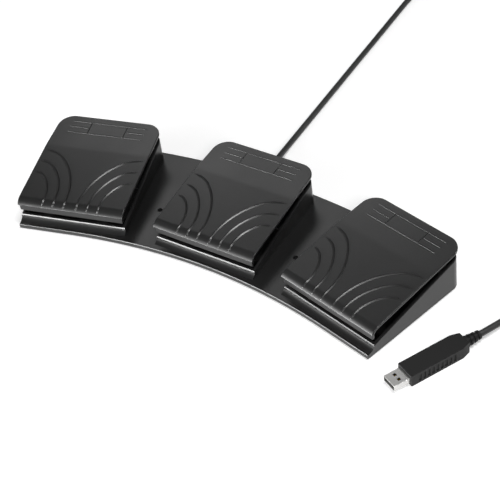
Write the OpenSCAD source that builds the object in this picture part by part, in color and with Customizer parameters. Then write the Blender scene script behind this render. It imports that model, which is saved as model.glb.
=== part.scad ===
// Foot switch with three pedals on a fan-shaped base, with a cord and plug.
// The frame stands on the floor, X runs along the row of pedals and Y points to the back.
// Each pedal has a station of its own: u across, v back from the pedal's front edge, z up.

/* [Fan] */
// Radius from the fan's centre to the pedals' front edges
fan_radius = 448.5; // [400:0.1:600]
// Angle between two neighbouring pedals
fan_angle = 14.3; // [13.5:0.1:18]

/* [Pedals] */
// Width of a pedal plate
pedal_w = 86.7; // [84:0.1:96]
// Narrowing of each side from the crease to the back edge
pedal_taper = 0.8; // [0:0.1:2]
// Depth of a pedal plate
pedal_d = 94.5; // [92:0.1:104]
// Thickness of a pedal plate
plate_t = 2.1; // [1.8:0.1:3.4]
// Height of the plate's front edge
front_h = 19.6; // [18.6:0.1:22]
// Place of the crease across the plate, from the front edge
crease_v = 60; // [50:0.5:72]
// Height of the crease
crease_h = 31; // [30.6:0.1:33]
// Height of the plate's back edge
back_h = 34; // [33.2:0.1:38]
// Radius of the plate's back corners
corner_r = 12; // [6:0.5:14]
// Radius of the rolled front edge
roll_r = 9; // [7:0.5:12]
// Slope at which the rolled front edge ends
roll_end = 60; // [45:1:75]
// Drop of the front lip below the front edge
lip_drop = 5.4; // [3:0.1:6]
// Thickness of the front lip and the side skirts
skirt_t = 2.2; // [1.6:0.1:2.6]
// Set-back of the lip behind the front edge
lip_back = 1.2; // [0.8:0.1:1.6]
// Set-back of the lip from the plate's sides
lip_inset = 0.7; // [0.5:0.1:5]
// Drop of the side skirts below the plate
skirt_drop = 5; // [3:0.5:6]
// Set-back of the skirts from the plate's sides
skirt_inset = 5.3; // [5.2:0.1:6]

/* [Grip pattern] */
// Number of curved ribs on each half of a pedal
ribs = 3; // [2:1:3]
// Width of a curved rib
rib_w = 2; // [1.2:0.1:2.6]
// Height of the ribs above the plate
rib_h = 0.6; // [0.3:0.1:0.8]
// Distance between two ribs at the front edge
rib_step = 8.8; // [7:0.1:10]
// Place of the ribs' front ends, from the pedal's front edge
rib_front = 1.4; // [0.8:0.1:4]
// Place where the ribs start to curve
rib_run = 7; // [5:0.5:9]
// Reach of the shortest rib along the side
rib_reach = 32.2; // [30:0.1:40]
// Growth of the reach from one rib to the next
rib_growth = 11.4; // [8:0.1:12]
// Share of a rib's start that its tight bend takes as radius
rib_bend = 0.72; // [0.6:0.02:0.8]
// Gap between a rib's end and the plate's side
rib_margin = 3; // [0.6:0.1:4]
// Width of the fine lines at the back
line_w = 0.7; // [0.5:0.1:1]
// Half length of the long lines at the back
line_half = 31.3; // [24:0.1:36]
// Place of the fine lines, from the back edge
line_back = 6.3; // [5:0.1:8]
// Depth of the field between the long lines
line_depth = 12; // [8:0.1:14]
// Half width of the bare middle field
field_half = 15; // [10:0.1:20]

/* [Housing] */
// Thickness of the pedestal walls
wall_t = 2.4; // [2:0.1:2.6]
// Set-back of the walls inside the pedal's sides
wall_inset = 0.4; // [0.2:0.1:1]
// Set-back of the front wall behind the pedal's front edge
rim_v = 1.6; // [1.2:0.1:2.2]
// Height of the front wall
rim_h = 9.3; // [9:0.1:10]
// Height of the straight rim above the cove
rim_band = 2.4; // [1:0.1:3]
// Place of the back wall's outer face
back_v = 90; // [88:0.1:91]
// Height of the back wall
back_wall_h = 28.4; // [27:0.1:29]
// Radius of the pedestal's back corners
wall_corner_r = 8; // [6:0.5:12]
// Overhang of the flange in front of the pedals
flange_out = 4.8; // [4:0.1:8]
// Height of the flange's top
flange_h = 4.4; // [4.2:0.1:5]
// Flat land left at the flange's front
flange_land = 0.8; // [0.4:0.1:1.5]
// Place of the deck's back edge
deck_back_v = 93.5; // [92:0.1:95]
// Height of the deck at its back edge
deck_back_h = 8.8; // [8.2:0.1:10]
// Thickness of the deck
deck_t = 2; // [1.6:0.1:2.2]
// Thickness of the skirt under the deck's back edge
deck_skirt_t = 3.5; // [3.2:0.1:4.5]
// Diameter of the fixing holes in the deck
hole_d = 4; // [3:0.1:5]
// Place of the fixing holes, from the pedals' front edges
hole_v = 33.4; // [28:0.1:42]
// Wall of the sleeve under a fixing hole
hole_wall = 2.4; // [1.6:0.1:3]

/* [Base] */
// Height of the base plate above the floor
base_gap = 1; // [0.8:0.1:1.4]
// Thickness of the base plate
base_t = 2; // [1.8:0.1:2.2]
// Diameter of a rubber foot
foot_d = 12; // [9:0.5:13]
// Depth of a foot's recess in the base plate
foot_sunk = 0.6; // [0.4:0.1:0.8]
// Distance of the feet from a station's middle line
foot_u = 24; // [20:0.5:26]
// Place of the front feet
foot_front_v = 10; // [8:0.5:12]
// Place of the back feet
foot_back_v = 77; // [70:0.5:79]
// Radius of the posts for the base screws
post_r = 3.4; // [3:0.1:3.8]
// Height of the posts' tops
post_h = 8.6; // [8:0.1:8.8]
// Distance of the front posts from a station's middle line
post_u = 36.2; // [34:0.1:36.6]
// Place of the front posts
post_v = 16; // [15:0.5:18]
// Gap between the back post's axis and the back wall's inner face
post_back_gap = 6; // [5:0.5:7]
// Radius of a base screw's shank
screw_r = 1.3; // [1:0.1:1.5]
// Radius of a base screw's head
screw_head_r = 2.5; // [2.2:0.1:3]
// Height of a base screw's head
screw_head_h = 1.1; // [0.9:0.1:1.2]
// Depth of solid post left above a screw's hole
post_cap = 1; // [0.8:0.1:1.4]
// Gap between a screw's end and the bottom of its hole
screw_end = 0.8; // [0.5:0.1:1]

/* [Hinge and stop] */
// Place of the hinge, from the pedal's front edge
hinge_v = 76; // [74:0.5:77]
// Height of the hinge
hinge_h = 20.5; // [19.5:0.1:20.6]
// Radius of the hinge pins
pin_r = 2; // [1.5:0.1:2.2]
// Radius of the ears and bosses around the pins
ear_r = 4; // [3.6:0.1:4]
// Wall left outside a blind pin hole
pin_skin = 0.8; // [0.6:0.1:1]
// Radius of a pin's head
pin_head_r = 3; // [2.6:0.1:3.4]
// Thickness of a pin's head
pin_head_t = 1; // [0.8:0.1:1.4]
// Distance of the hooks from a station's middle line
hook_u = 22; // [16:0.5:26]
// Width of a hook
hook_w = 8; // [6:0.5:10]
// Thickness of a hook's stem
hook_t = 2; // [1.6:0.1:2.4]
// Height of a hook's lower end
hook_h = 6.2; // [6:0.1:6.3]
// Thickness of a hook's nib
nib_t = 1.1; // [0.9:0.1:1.1]
// Thickness of the ledge that stops a hook
ledge_t = 1.7; // [1.4:0.1:1.7]
// Depth of the ledge
ledge_d = 1.6; // [1.2:0.1:1.8]

/* [Switch] */
// Place of the switch, from the pedal's front edge
switch_v = 46; // [44:0.5:48]
// Side of the square switch case
switch_w = 12; // [10:0.5:13]
// Height of the switch case
switch_h = 6; // [5.5:0.1:6.5]
// Radius of the switch plunger
plunger_r = 2.5; // [2:0.1:3]
// Length of the plunger above the case
plunger_out = 2.4; // [2:0.1:2.8]
// Length of the plunger inside the case
plunger_in = 3.4; // [3:0.1:3.6]
// Radius of the boss that presses the plunger
boss_r = 4; // [3.2:0.1:4.5]
// Height of the boards above the base plate
board_gap = 4; // [3.8:0.1:4.4]
// Thickness of the boards
board_t = 1.6; // [1.2:0.1:1.8]
// Width of an outer switch board
board_w = 28; // [26:0.5:30]
// Depth of an outer switch board
board_d = 24; // [23:0.5:25]
// Width of the controller board
main_w = 48; // [44:0.5:50]
// Depth of the controller board
main_d = 36; // [32:0.5:38]
// Place of the boards' front edges
board_v = 35; // [34:0.5:36]
// Distance of a board screw from the board's edges
board_margin = 3.6; // [3.2:0.1:4]
// Radius of the board standoffs
standoff_r = 2.8; // [2.4:0.1:3]
// Radius of a board screw's shank
board_screw_r = 0.95; // [0.8:0.05:1.1]
// Radius of a board screw's head
board_head_r = 1.9; // [1.7:0.1:2.2]
// Height of a board screw's head
board_head_h = 1.3; // [1:0.1:1.5]
// Side of the square controller chip
chip_w = 9; // [7:0.5:10]
// Height of the controller chip
chip_h = 1.6; // [1.2:0.1:2]

/* [Return spring] */
// Place of the spring, from the pedal's front edge
spring_v = 23; // [22:0.5:24]
// Outer diameter of the spring
spring_d = 11; // [10:0.2:12]
// Diameter of the spring's wire
wire_d = 1.1; // [0.9:0.05:1.3]
// Number of the spring's turns
spring_turns = 6; // [4:1:7]
// Height of the pedal's spring seat
seat_h = 19; // [18.4:0.1:19.6]
// Radius of the posts that centre the spring
spring_post_r = 3.4; // [2.8:0.1:3.6]
// Length of the posts that centre the spring
spring_post_l = 3.5; // [2:0.1:4]

/* [Leads inside] */
// Place of the ribbon cables, from the pedals' front edges
ribbon_v = 55; // [53:0.5:56]
// Width of a ribbon cable
ribbon_w = 4.4; // [3.6:0.1:5]
// Thickness of a ribbon cable
ribbon_t = 1; // [0.8:0.1:1.2]
// Height of a ribbon cable above the base plate
ribbon_gap = 0.7; // [0.5:0.1:0.9]
// Width of a ribbon socket across the board
header_w = 6; // [5:0.5:7]
// Depth of a ribbon socket
header_d = 6; // [5.6:0.1:6.4]
// Diameter of one core of the cord
core_d = 1.3; // [1:0.1:1.4]

/* [Cord and plug] */
// Diameter of the cord
cord_d = 4.5; // [4:0.1:4.6]
// Distance of the cord's outlet from the middle line, to the left
outlet_u = 9.5; // [9:0.5:14]
// Radius of the grommet's neck in the back wall
neck_r = 3.6; // [3:0.1:3.8]
// Radius of the grommet's collars
collar_r = 4.35; // [4.2:0.05:4.6]
// Thickness of the grommet's collars
collar_t = 1.6; // [1.2:0.1:2]
// Length of the grommet's tail
tail_l = 15; // [12:0.5:16]
// Radius of the grommet's tail at its end
tail_r = 3.1; // [2.8:0.1:3.4]
// Place of the plug's tip along X
plug_x = 175.3; // [170:0.1:190]
// Place of the plug's tip along Y
plug_y = -77.1; // [-90:0.1:-60]
// Heading of the plug's lead, from X
plug_heading = 63.2; // [50:0.1:80]
// Width of the plug's metal shell
shell_w = 12; // [11.8:0.1:12.2]
// Height of the plug's metal shell
shell_h = 4.5; // [4.4:0.1:4.6]
// Length of the shell in front of the cover
shell_out = 12.5; // [11:0.1:14]
// Length of the shell inside the cover
shell_in = 6; // [4:0.5:8]
// Sheet of the shell
shell_t = 0.35; // [0.3:0.05:0.4]
// Side of the latch windows
window_w = 2.3; // [2:0.1:2.6]
// Place of the latch windows, from the tip
window_s = 6.3; // [5:0.1:7]
// Distance of the latch windows from the middle line
window_u = 2.35; // [2:0.05:2.6]
// Thickness of the plug's tongue
tongue_t = 1.85; // [1.6:0.05:2]
// Set-back of the tongue inside the shell's mouth
tongue_back = 1; // [0.6:0.1:1.4]
// Set-back of the contacts behind the tongue's end
contact_back = 0.6; // [0.4:0.1:1]
// Thickness of the contacts
contact_t = 0.25; // [0.2:0.05:0.35]
// Width of a contact
contact_w = 1; // [0.8:0.1:1.2]
// Pitch of the contacts
contact_step = 2.25; // [2:0.05:2.4]
// Width of the plug's cover
cover_w = 15.2; // [13.5:0.1:16]
// Thickness of the plug's cover
cover_h = 9.4; // [8.5:0.1:10]
// Length of the plug's cover
cover_l = 48.5; // [44:0.5:54]
// Length of the chamfer at the cover's back
cover_taper = 6.5; // [4:0.5:8]
// Width of the cover's back end
cover_end_w = 11; // [9.4:0.1:12]
// Radius of the neck where it meets the cover
relief_r = 4.4; // [4:0.1:4.6]
// Radius of the neck's end
relief_end_r = 3.2; // [2.9:0.1:3.6]
// Length of the neck
relief_l = 12; // [10:0.5:13]
// Number of the neck's rings
relief_rings = 3; // [2:1:4]
// Depth of the grooves between the neck's rings
relief_groove = 0.7; // [0.4:0.1:0.9]
// Number of grip ribs on each side of the cover
grips = 8; // [5:1:8]
// Pitch of the grip ribs
grip_step = 3.5; // [3:0.1:4]
// Width of a grip rib
grip_w = 1.4; // [1:0.1:1.8]
// Height of the grip ribs
grip_h = 5.6; // [4:0.1:7]
// Depth of the grooves between the grip ribs
grip_d = 0.5; // [0.3:0.1:0.8]

/* [Coil of spare cord] */
// Radius of the coil's outermost turn, to the cord's middle
coil_r = 33.5; // [32:0.5:35]
// Distance between two turns of a layer
coil_pitch = 5; // [4.95:0.05:5.2]
// Distance between the two layers
coil_layer = 5; // [4.95:0.05:5.2]
// Turns from the outside to the place where the spiral reverses
coil_turns = 3.25; // [3.25:1:4.25]
// Width of the tie around the coil
tie_w = 8; // [5:0.5:10]
// Thickness of the tie
tie_t = 1.2; // [0.8:0.1:1.4]

/* [Clearances] */
// Radial gap of a pin in its boss
pin_fit = 0.02; // [0.02:0.01:0.05]
// Radial gap of a pin in the pedal's ear
ear_fit = 0.06; // [0.04:0.01:0.1]
// Gap between two pieces that are set into each other
seat_gap = 0.1; // [0.05:0.01:0.15]
// Radial gap of a plunger in its case
plunger_fit = 0.08; // [0.05:0.01:0.1]
// Gap between a plunger and the pedal's boss
press_gap = 0.15; // [0.12:0.01:0.2]
// Gap beside a moving piece
side_gap = 0.4; // [0.3:0.05:0.5]
// Gap between a hook and its ledge
hook_gap = 0.3; // [0.2:0.05:0.35]
// Gap around the plug's shell and its tongue
shell_fit = 0.02; // [0.02:0.01:0.04]
// Gap between the coil and its tie
tie_gap = 0.4; // [0.3:0.05:0.5]

/* [Hidden] */
$fn = 48;

left = -1;
middle = 0;
right = 1;
stations = [left, middle, right];
sides = [-1, 1];
tall = 60;
eps = 0.01;

// Colours
black_plastic = [0.16, 0.16, 0.16];
pedal_plastic = [0.24, 0.24, 0.24];
board_green = [0.05, 0.3, 0.15];
steel = [0.75, 0.75, 0.77];
gold = [0.85, 0.65, 0.25];
dark_rubber = [0.1, 0.1, 0.1];

// Plan of the base
half_w = pedal_w / 2;
wall_half = half_w - wall_inset;
flange_r = fan_radius - flange_out;
deck_back_r = fan_radius + deck_back_v;
plan_front = flange_r * cos(fan_angle) - wall_half * sin(fan_angle);
plan_back = fan_radius + max(pedal_d, deck_back_v);
fan_y = -(plan_front + plan_back) / 2;

// Heights
floor_h = base_gap + base_t;
board_h = floor_h + board_gap;
outlet_h = floor_h + seat_gap + collar_r;
case_h = board_h + board_t;
plunger_h = case_h + switch_h + plunger_out;
boss_h = plunger_h + press_gap;
well_half = wall_half - wall_t;
well_front = rim_v + wall_t;
well_back = back_v - wall_t;
skirt_u = half_w - skirt_inset;
boss_u = skirt_u + side_gap;
ledge_h = hook_h + nib_t + hook_gap;
hook_v = well_front + ledge_d + side_gap;
deck_slope = (deck_back_h - flange_h) / (deck_back_r - flange_r);

// The plate's top line in (v, z): an arc at the front, a crease, and a flatter back
roll_mid = [roll_r * sin(roll_end), front_h - roll_r * cos(roll_end)];
crease = [crease_v, crease_h];
reach = crease - roll_mid;
front_slope = atan2(reach.y, reach.x) - asin(roll_r / norm(reach));
back_slope = atan2(back_h - crease_h, pedal_d - crease_v);
roll_steps = 8;

function heading(angle) = [cos(angle), sin(angle)];
function upright(slope) = [-sin(slope), cos(slope)];
function top_at(v) = v < crease_v
    ? crease_h - (crease_v - v) * tan(front_slope)
    : crease_h + (v - crease_v) * tan(back_slope);
function roll_slope(i) = roll_end + (front_slope - roll_end) * i / roll_steps;
function top_line(out) = concat(
    [for (i = [0 : roll_steps]) roll_mid + (roll_r + out) * upright(roll_slope(i))],
    [crease + out * upright((front_slope + back_slope) / 2)],
    [[pedal_d, back_h + out / cos(back_slope)]]
);
function backwards(list) = [for (i = [len(list) - 1 : -1 : 0]) list[i]];
function top_band(out, inside) = concat(top_line(out), backwards(top_line(-inside)));

// One edge of a grip rib: straight over the roll, a long arc, then a tighter bend to the side
rib_steps = 8;
function rib_edge(start, reach, out) =
    let (rise = reach - rib_run, bend_r = rib_bend * start)
    let (long_r = (start * start + rise * rise - 2 * rise * bend_r) / (2 * (start - bend_r)))
    let (turn = atan2(rise - bend_r, long_r - start))
    let (steps = [1 : rib_steps])
    concat(
        [[start + out, rib_front], [start + out, rib_run]],
        [for (i = steps) [start - long_r, rib_run] + (long_r + out) * heading(turn * i / rib_steps)],
        [for (i = steps) [0, reach - bend_r]
            + (bend_r + out) * heading(turn + (90 - turn) * i / rib_steps)]
    );

// Height of the deck's top and the wall's top
function deck_at(v) = flange_h + (v + flange_out) * deck_slope;
function wall_at(v) = rim_h + (back_wall_h - rim_h) * (v - rim_v) / (back_v - rim_v);

// Places of the screws, feet and standoffs in a station
posts = [[-post_u, post_v], [post_u, post_v], [0, well_back - post_back_gap]];
feet = [for (s = sides, v = [foot_front_v, foot_back_v]) [s * foot_u, v]];
function board_half(p) = p == middle ? main_w / 2 : board_w / 2;
function board_depth(p) = p == middle ? main_d : board_d;
function lead_side(p) = p == left ? 1 : -1;
function standoffs(p) = [
    [lead_side(p) * (board_half(p) - board_margin), board_v + board_margin],
    [-lead_side(p) * (board_half(p) - board_margin), board_v + board_depth(p) - board_margin]
];

// Sweep of a round tube along a line of points
function unit(a) = a / norm(a);
function along(line, i) = unit(line[min(i + 1, len(line) - 1)] - line[max(i - 1, 0)]);
function tube_ring(line, i, r, n) =
    let (t = along(line, i), s = unit(cross(t, [0, 0, 1])), w = cross(s, t))
    [for (k = [0 : n - 1]) line[i] + r * (cos(360 * k / n) * s + sin(360 * k / n) * w)];
function ring_faces(i, n) = [
    for (k = [0 : n - 1])
        let (a = i * n + k, b = i * n + (k + 1) % n)
        each [[a, b, b + n], [a, b + n, a + n]]
];

module tube(line, r, n) {
    last = len(line) - 1;
    points = [for (i = [0 : last]) each tube_ring(line, i, r, n)];
    walls = [for (i = [0 : last - 1]) each ring_faces(i, n)];
    first_cap = [for (k = [1 : n - 2]) [0, k + 1, k]];
    last_cap = [for (k = [1 : n - 2]) [last * n, last * n + k, last * n + k + 1]];
    polyhedron(points, concat(walls, first_cap, last_cap), convexity = 8);
}

// Smooth line through points chosen by hand
function blend(a, b, c, d, t) =
    (2 * b + (c - a) * t + (2 * a - 5 * b + 4 * c - d) * t * t + (3 * b - a - 3 * c + d) * t * t * t) / 2;
function smooth(list, steps) = concat(
    [for (i = [0 : len(list) - 2], k = [0 : steps - 1])
        blend(list[max(i - 1, 0)], list[i], list[i + 1], list[min(i + 2, len(list) - 1)], k / steps)],
    [list[len(list) - 1]]
);
function line_length(list, i = 0) = i >= len(list) - 1
    ? 0
    : norm(list[i + 1] - list[i]) + line_length(list, i + 1);

// Coil of spare cord: in on the lower layer, up where it reverses, out on the upper layer
coil_x = 178;
coil_y = 222;
loop_rings = 24;
coil_sides = 6;
coil_h = tie_t + tie_gap + cord_d / 2;
coil_all = 2 * coil_turns - 0.25;
coil_inner = coil_r - coil_turns * coil_pitch;
function ease(t) = t * t * (3 - 2 * t);
function climb(q) = ease(min(max((q - coil_turns) * 2 + 0.5, 0), 1));
function coil_radius(q) = coil_inner + abs(coil_turns - q) * coil_pitch;
function coil_point(q) = concat(
    [coil_x, coil_y] + coil_radius(q) * heading(90 - 360 * q),
    [coil_h + coil_layer * climb(q)]
);
coil_in = coil_point(0) - [cord_d, 0, 0];
coil_out = coil_point(coil_all) - [0, cord_d, 0];
coil_line = concat(
    [coil_in],
    [for (i = [0 : round(coil_all * loop_rings)]) coil_point(i / loop_rings)],
    [coil_out]
);
coil_self = min([
    for (i = [0 : len(coil_line) - 1], k = [i + loop_rings / 2 : 1 : len(coil_line) - 1])
        norm(coil_line[i] - coil_line[k])
]) - cord_d;

// Route of the cord from the back wall to the coil, on the floor where it can be
lay = 2.35;
outlet_y = fan_y + fan_radius + deck_back_v;
neck_l = deck_back_v - well_back;
tail_end = outlet_y + seat_gap + collar_t + tail_l;
cable_route = concat(
    [[-outlet_u, tail_end, outlet_h], [-outlet_u, tail_end + cord_d, outlet_h]],
    [
        [-10, 88, 6.8], [-11.2, 95, 5.4], [-12.5, 102, 3.9], [-13.6, 111, 2.8], [-14.3, 122, lay],
        [-15, 140, lay], [-16, 165, lay], [-17.2, 195, lay], [-18.6, 230, lay], [-19.9, 265, lay],
        [-21.2, 298, lay], [-22, 328, lay], [-19.2, 354, lay], [-6, 376, lay], [16, 387, lay],
        [40, 387, lay], [64, 377, lay], [84, 360, lay], [100, 338, lay], [112, 314, lay],
        [123, 291, lay], [135, 272, lay], [150, 260, 2.9]
    ],
    [coil_in - [cord_d, 0, 0], coil_in]
);
plug_back = shell_out + cover_l + relief_l;
plug_end = concat([plug_x, plug_y] + plug_back * heading(plug_heading), [cover_h / 2]);
lead_route = concat(
    [coil_out, coil_out - [0, cord_d, 0]],
    [
        [210.4, 198, 7.2], [211.2, 180, 4.4], [213, 160, 2.6], [216, 136, lay], [219.6, 110, lay],
        [223, 84, lay], [225.4, 60, lay], [225.3, 38, lay], [221.2, 18.4, 2.7], [215.8, 5.5, 3.8]
    ],
    [plug_end + cord_d * concat(heading(plug_heading), [0]), plug_end]
);
cable_line = smooth(cable_route, 2);
lead_line = smooth(lead_route, 2);
cord_sides = 8;
echo(coil_gap = coil_self, inner_turn = coil_inner);
echo(cord_length = line_length(cable_line) + line_length(coil_line) + line_length(lead_line));

// Frames of the pieces
module fan() {
    translate([0, fan_y, 0]) children();
}

module station(p) {
    fan() rotate([0, 0, -p * fan_angle]) translate([0, fan_radius, 0]) children();
}

module plug_frame() {
    translate([plug_x, plug_y, cover_h / 2]) rotate([0, 0, plug_heading - 90]) children();
}

// Side profile in (v, z), pulled out along u
module across(width, outline) {
    rotate([90, 0, 90]) linear_extrude(width, center = true) polygon(outline);
}

// Plan with square front corners and round back corners
module tray(half, v0, v1, r, z0, z1) {
    translate([0, 0, z0]) linear_extrude(z1 - z0) {
        translate([-half, v0]) square([2 * half, v1 - v0 - r]);
        translate([-half + r, v0]) square([2 * (half - r), v1 - v0]);
        for (s = sides) translate([s * (half - r), v1 - r]) circle(r);
    }
}

// Plan of the base: a ring sector with a straight half station at each end
module base_slab(z0, z1) {
    fan() rotate([0, 0, 90 - fan_angle]) rotate_extrude(angle = 2 * fan_angle, $fn = 200)
        translate([flange_r, z0]) square([deck_back_r - flange_r, z1 - z0]);
    for (p = [left, right]) station(p) intersection() {
        tray(wall_half, -flange_out, back_v, wall_corner_r, z0, z1);
        translate([min(p, 0) * tall, -tall, z0]) cube([tall, 3 * tall, z1 - z0]);
    }
}

// Pedals
module curved_rib(start, reach) {
    linear_extrude(tall)
        polygon(concat(rib_edge(start, reach, rib_w / 2), backwards(rib_edge(start, reach, -rib_w / 2))));
}

module fine_lines() {
    for (v = [0, line_depth]) translate([-line_half, pedal_d - line_back - v - line_w / 2, 0])
        cube([2 * line_half, line_w, tall]);
    for (s = sides) {
        translate([s * field_half - line_w / 2, pedal_d - line_back - line_depth, 0])
            cube([line_w, line_depth, tall]);
        translate([s * (field_half + line_half + line_w) / 2, pedal_d - line_back - line_depth / 2, tall / 2])
            cube([line_half - field_half - 3 * line_w, line_w, tall], center = true);
    }
}

module grip_pattern() {
    intersection() {
        across(pedal_w, top_band(rib_h, plate_t / 2));
        union() {
            for (s = [0, 1], i = [0 : ribs - 1]) mirror([s, 0, 0]) translate([rib_margin - half_w, 0, 0])
                curved_rib(half_w - rib_margin - (ribs - i - 0.5) * rib_step, rib_reach + i * rib_growth);
            fine_lines();
        }
    }
}

// Plan of a pedal plate: parallel sides to the crease, then a slight taper to the round back corners
module plate_plan() {
    corner_u = half_w - pedal_taper - corner_r;
    corner_v = pedal_d - corner_r;
    linear_extrude(tall) {
        polygon([
            [-half_w, -roll_r], [half_w, -roll_r], [half_w, crease_v], [corner_u + corner_r, corner_v],
            [corner_u, pedal_d], [-corner_u, pedal_d], [-corner_u - corner_r, corner_v], [-half_w, crease_v]
        ]);
        for (s = sides) translate([s * corner_u, corner_v]) circle(corner_r);
    }
}

module skirt_plate() {
    v0 = roll_mid.x;
    v1 = hinge_v + ear_r;
    low = plate_t + skirt_drop;
    across(skirt_t, [[v0, top_at(v0) - low], [v1, top_at(v1) - low], [v1, tall], [v0, tall]]);
}

module ear() {
    rotate([0, 90, 0]) cylinder(r = ear_r, h = skirt_t, center = true);
    translate([-skirt_t / 2, -ear_r, 0]) cube([skirt_t, 2 * ear_r, tall]);
}

module hook() {
    translate([-hook_w / 2, hook_v, hook_h]) cube([hook_w, hook_t, tall]);
    translate([-hook_w / 2, hook_v - ledge_d, hook_h]) cube([hook_w, ledge_d + eps, nib_t]);
}

module under_parts() {
    lip_half = half_w - lip_inset;
    translate([-lip_half, lip_back, front_h - lip_drop]) cube([2 * lip_half, skirt_t, tall]);
    for (s = sides) {
        translate([s * (skirt_u - skirt_t / 2), 0, 0]) skirt_plate();
        translate([s * (skirt_u - skirt_t / 2), hinge_v, hinge_h]) ear();
        translate([s * hook_u, 0, 0]) hook();
    }
    translate([0, switch_v, boss_h]) cylinder(r = boss_r, h = tall);
    translate([0, spring_v, seat_h]) cylinder(d = spring_d + 2 * wire_d, h = tall);
    translate([0, spring_v, seat_h - spring_post_l]) cylinder(r = spring_post_r, h = tall);
}

module pedal(p) {
    under = concat(top_line(-plate_t / 2), [[pedal_d, 0], [0, 0]]);
    color(pedal_plastic) station(p) difference() {
        union() {
            intersection() {
                across(pedal_w, top_band(0, plate_t));
                plate_plan();
            }
            grip_pattern();
            intersection() {
                across(pedal_w, under);
                under_parts();
            }
        }
        for (s = sides) translate([s * (skirt_u - skirt_t / 2), hinge_v, hinge_h]) rotate([0, 90, 0])
            cylinder(r = pin_r + ear_fit, h = 2 * skirt_t, center = true);
    }
}

// Housing
module deck() {
    inner = deck_back_r - deck_skirt_t;
    fan() rotate([0, 0, 90 - fan_angle]) rotate_extrude(angle = 2 * fan_angle, $fn = 200) polygon([
        [flange_r, flange_h - deck_t], [flange_r, flange_h], [deck_back_r, deck_back_h], [deck_back_r, 0],
        [inner, 0], [inner, deck_back_h - deck_skirt_t * deck_slope - deck_t]
    ]);
}

// Concave front from the rim down to the flange
module cove() {
    foot_v = flange_land - flange_out;
    rise = rim_h - rim_band - flange_h;
    run = rim_v - foot_v;
    cove_r = (run * run + rise * rise) / (2 * rise);
    sweep = asin(run / cove_r);
    steps = 10;
    outer = rim_v - 4 * flange_out;
    curve = [for (i = [0 : steps]) [foot_v, flange_h + cove_r] + cove_r * heading(i * sweep / steps - 90)];
    across(2 * wall_half, concat(
        curve,
        [[rim_v, rim_h], [well_front, rim_h], [well_front, 0], [outer, 0], [outer, flange_h]]
    ));
}

module pedestal() {
    far = 2 * back_v;
    side = [[0, 0], [0, wall_at(0)], [far, wall_at(far)], [far, 0]];
    intersection() {
        across(4 * wall_half, side);
        tray(wall_half, rim_v, back_v, wall_corner_r, 0, tall);
    }
}

module well() {
    tray(well_half, well_front, well_back, wall_corner_r - wall_t, 0, tall);
}

module well_fittings() {
    for (s = sides) {
        translate([s * (boss_u + well_half + wall_t / 2) / 2, hinge_v, hinge_h]) rotate([0, 90, 0])
            cylinder(r = ear_r, h = well_half + wall_t / 2 - boss_u, center = true);
        translate([s * hook_u - hook_w, well_front - wall_t / 2, ledge_h])
            cube([2 * hook_w, ledge_d + wall_t / 2, min(ledge_t, rim_h - ledge_h)]);
    }
    for (post = posts) {
        away = post.x == 0 ? [0, 1] : [sign(post.x), 0];
        reach = post.x == 0 ? well_back - post.y : well_half - abs(post.x);
        translate([post.x, post.y, 0]) {
            cylinder(r = post_r, h = post_h);
            rotate([0, 0, atan2(away.y, away.x)]) translate([0, -post_r / 2, 0])
                cube([reach + wall_t / 2, post_r, post_h]);
        }
    }
}

module fixing_holes(r, z0, z1) {
    for (s = sides) fan() rotate([0, 0, s * fan_angle / 2]) translate([0, fan_radius + hole_v, z0])
        cylinder(r = r, h = z1 - z0);
}

module pin_holes() {
    for (s = sides) translate([s * (wall_half - pin_skin), hinge_v, hinge_h]) rotate([0, -s * 90, 0])
        cylinder(r = pin_r + pin_fit, h = tall / 2);
}

module screw_holes() {
    for (post = posts) translate([post.x, post.y, 0]) cylinder(r = screw_r + seat_gap, h = post_h - post_cap);
}

module ribbon_slot() {
    fan() rotate([0, 0, 90 - fan_angle]) rotate_extrude(angle = 2 * fan_angle, $fn = 200)
        translate([fan_radius + ribbon_v - ribbon_w / 2 - side_gap, 0])
        square([ribbon_w + 2 * side_gap, floor_h + ribbon_gap + ribbon_t + side_gap]);
}

module below_floor() {
    reach = 2 * fan_radius;
    translate([-reach / 2, -reach / 2, -tall]) cube([reach, reach, tall + floor_h]);
}

module housing() {
    color(black_plastic) difference() {
        union() {
            difference() {
                union() {
                    deck();
                    for (p = stations) station(p) pedestal();
                    intersection() {
                        base_slab(0, tall);
                        for (p = stations) station(p) cove();
                    }
                }
                for (p = stations) station(p) well();
            }
            for (p = stations) station(p) well_fittings();
            fixing_holes(hole_d / 2 + hole_wall, 0, deck_at(hole_v) - deck_t / 2);
        }
        for (p = stations) station(p) {
            pin_holes();
            screw_holes();
        }
        fixing_holes(hole_d / 2, 0, tall);
        ribbon_slot();
        below_floor();
        translate([-outlet_u, outlet_y + wall_t, outlet_h]) rotate([90, 0, 0])
            cylinder(r = neck_r + seat_gap, h = neck_l + 2 * wall_t);
    }
}

// Base
module base_plate() {
    color(black_plastic) difference() {
        union() {
            base_slab(base_gap, floor_h);
            for (p = stations) station(p) {
                for (post = standoffs(p)) translate([post.x, post.y, floor_h - eps])
                    cylinder(r = standoff_r, h = board_gap + eps);
                translate([0, spring_v, floor_h - eps]) cylinder(r = spring_post_r, h = spring_post_l + eps);
            }
        }
        for (p = stations) station(p) {
            for (foot = feet) translate([foot.x, foot.y, 0])
                cylinder(d = foot_d + 2 * seat_gap, h = base_gap + foot_sunk);
            for (post = posts) translate([post.x, post.y, 0]) {
                cylinder(r = screw_r + seat_gap, h = tall / 2);
                cylinder(r = screw_head_r + seat_gap, h = base_gap + screw_head_h);
            }
            for (post = standoffs(p)) translate([post.x, post.y, floor_h])
                cylinder(r = board_screw_r + seat_gap / 2, h = tall / 2);
        }
        fixing_holes(hole_d / 2, 0, tall);
    }
}

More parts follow.
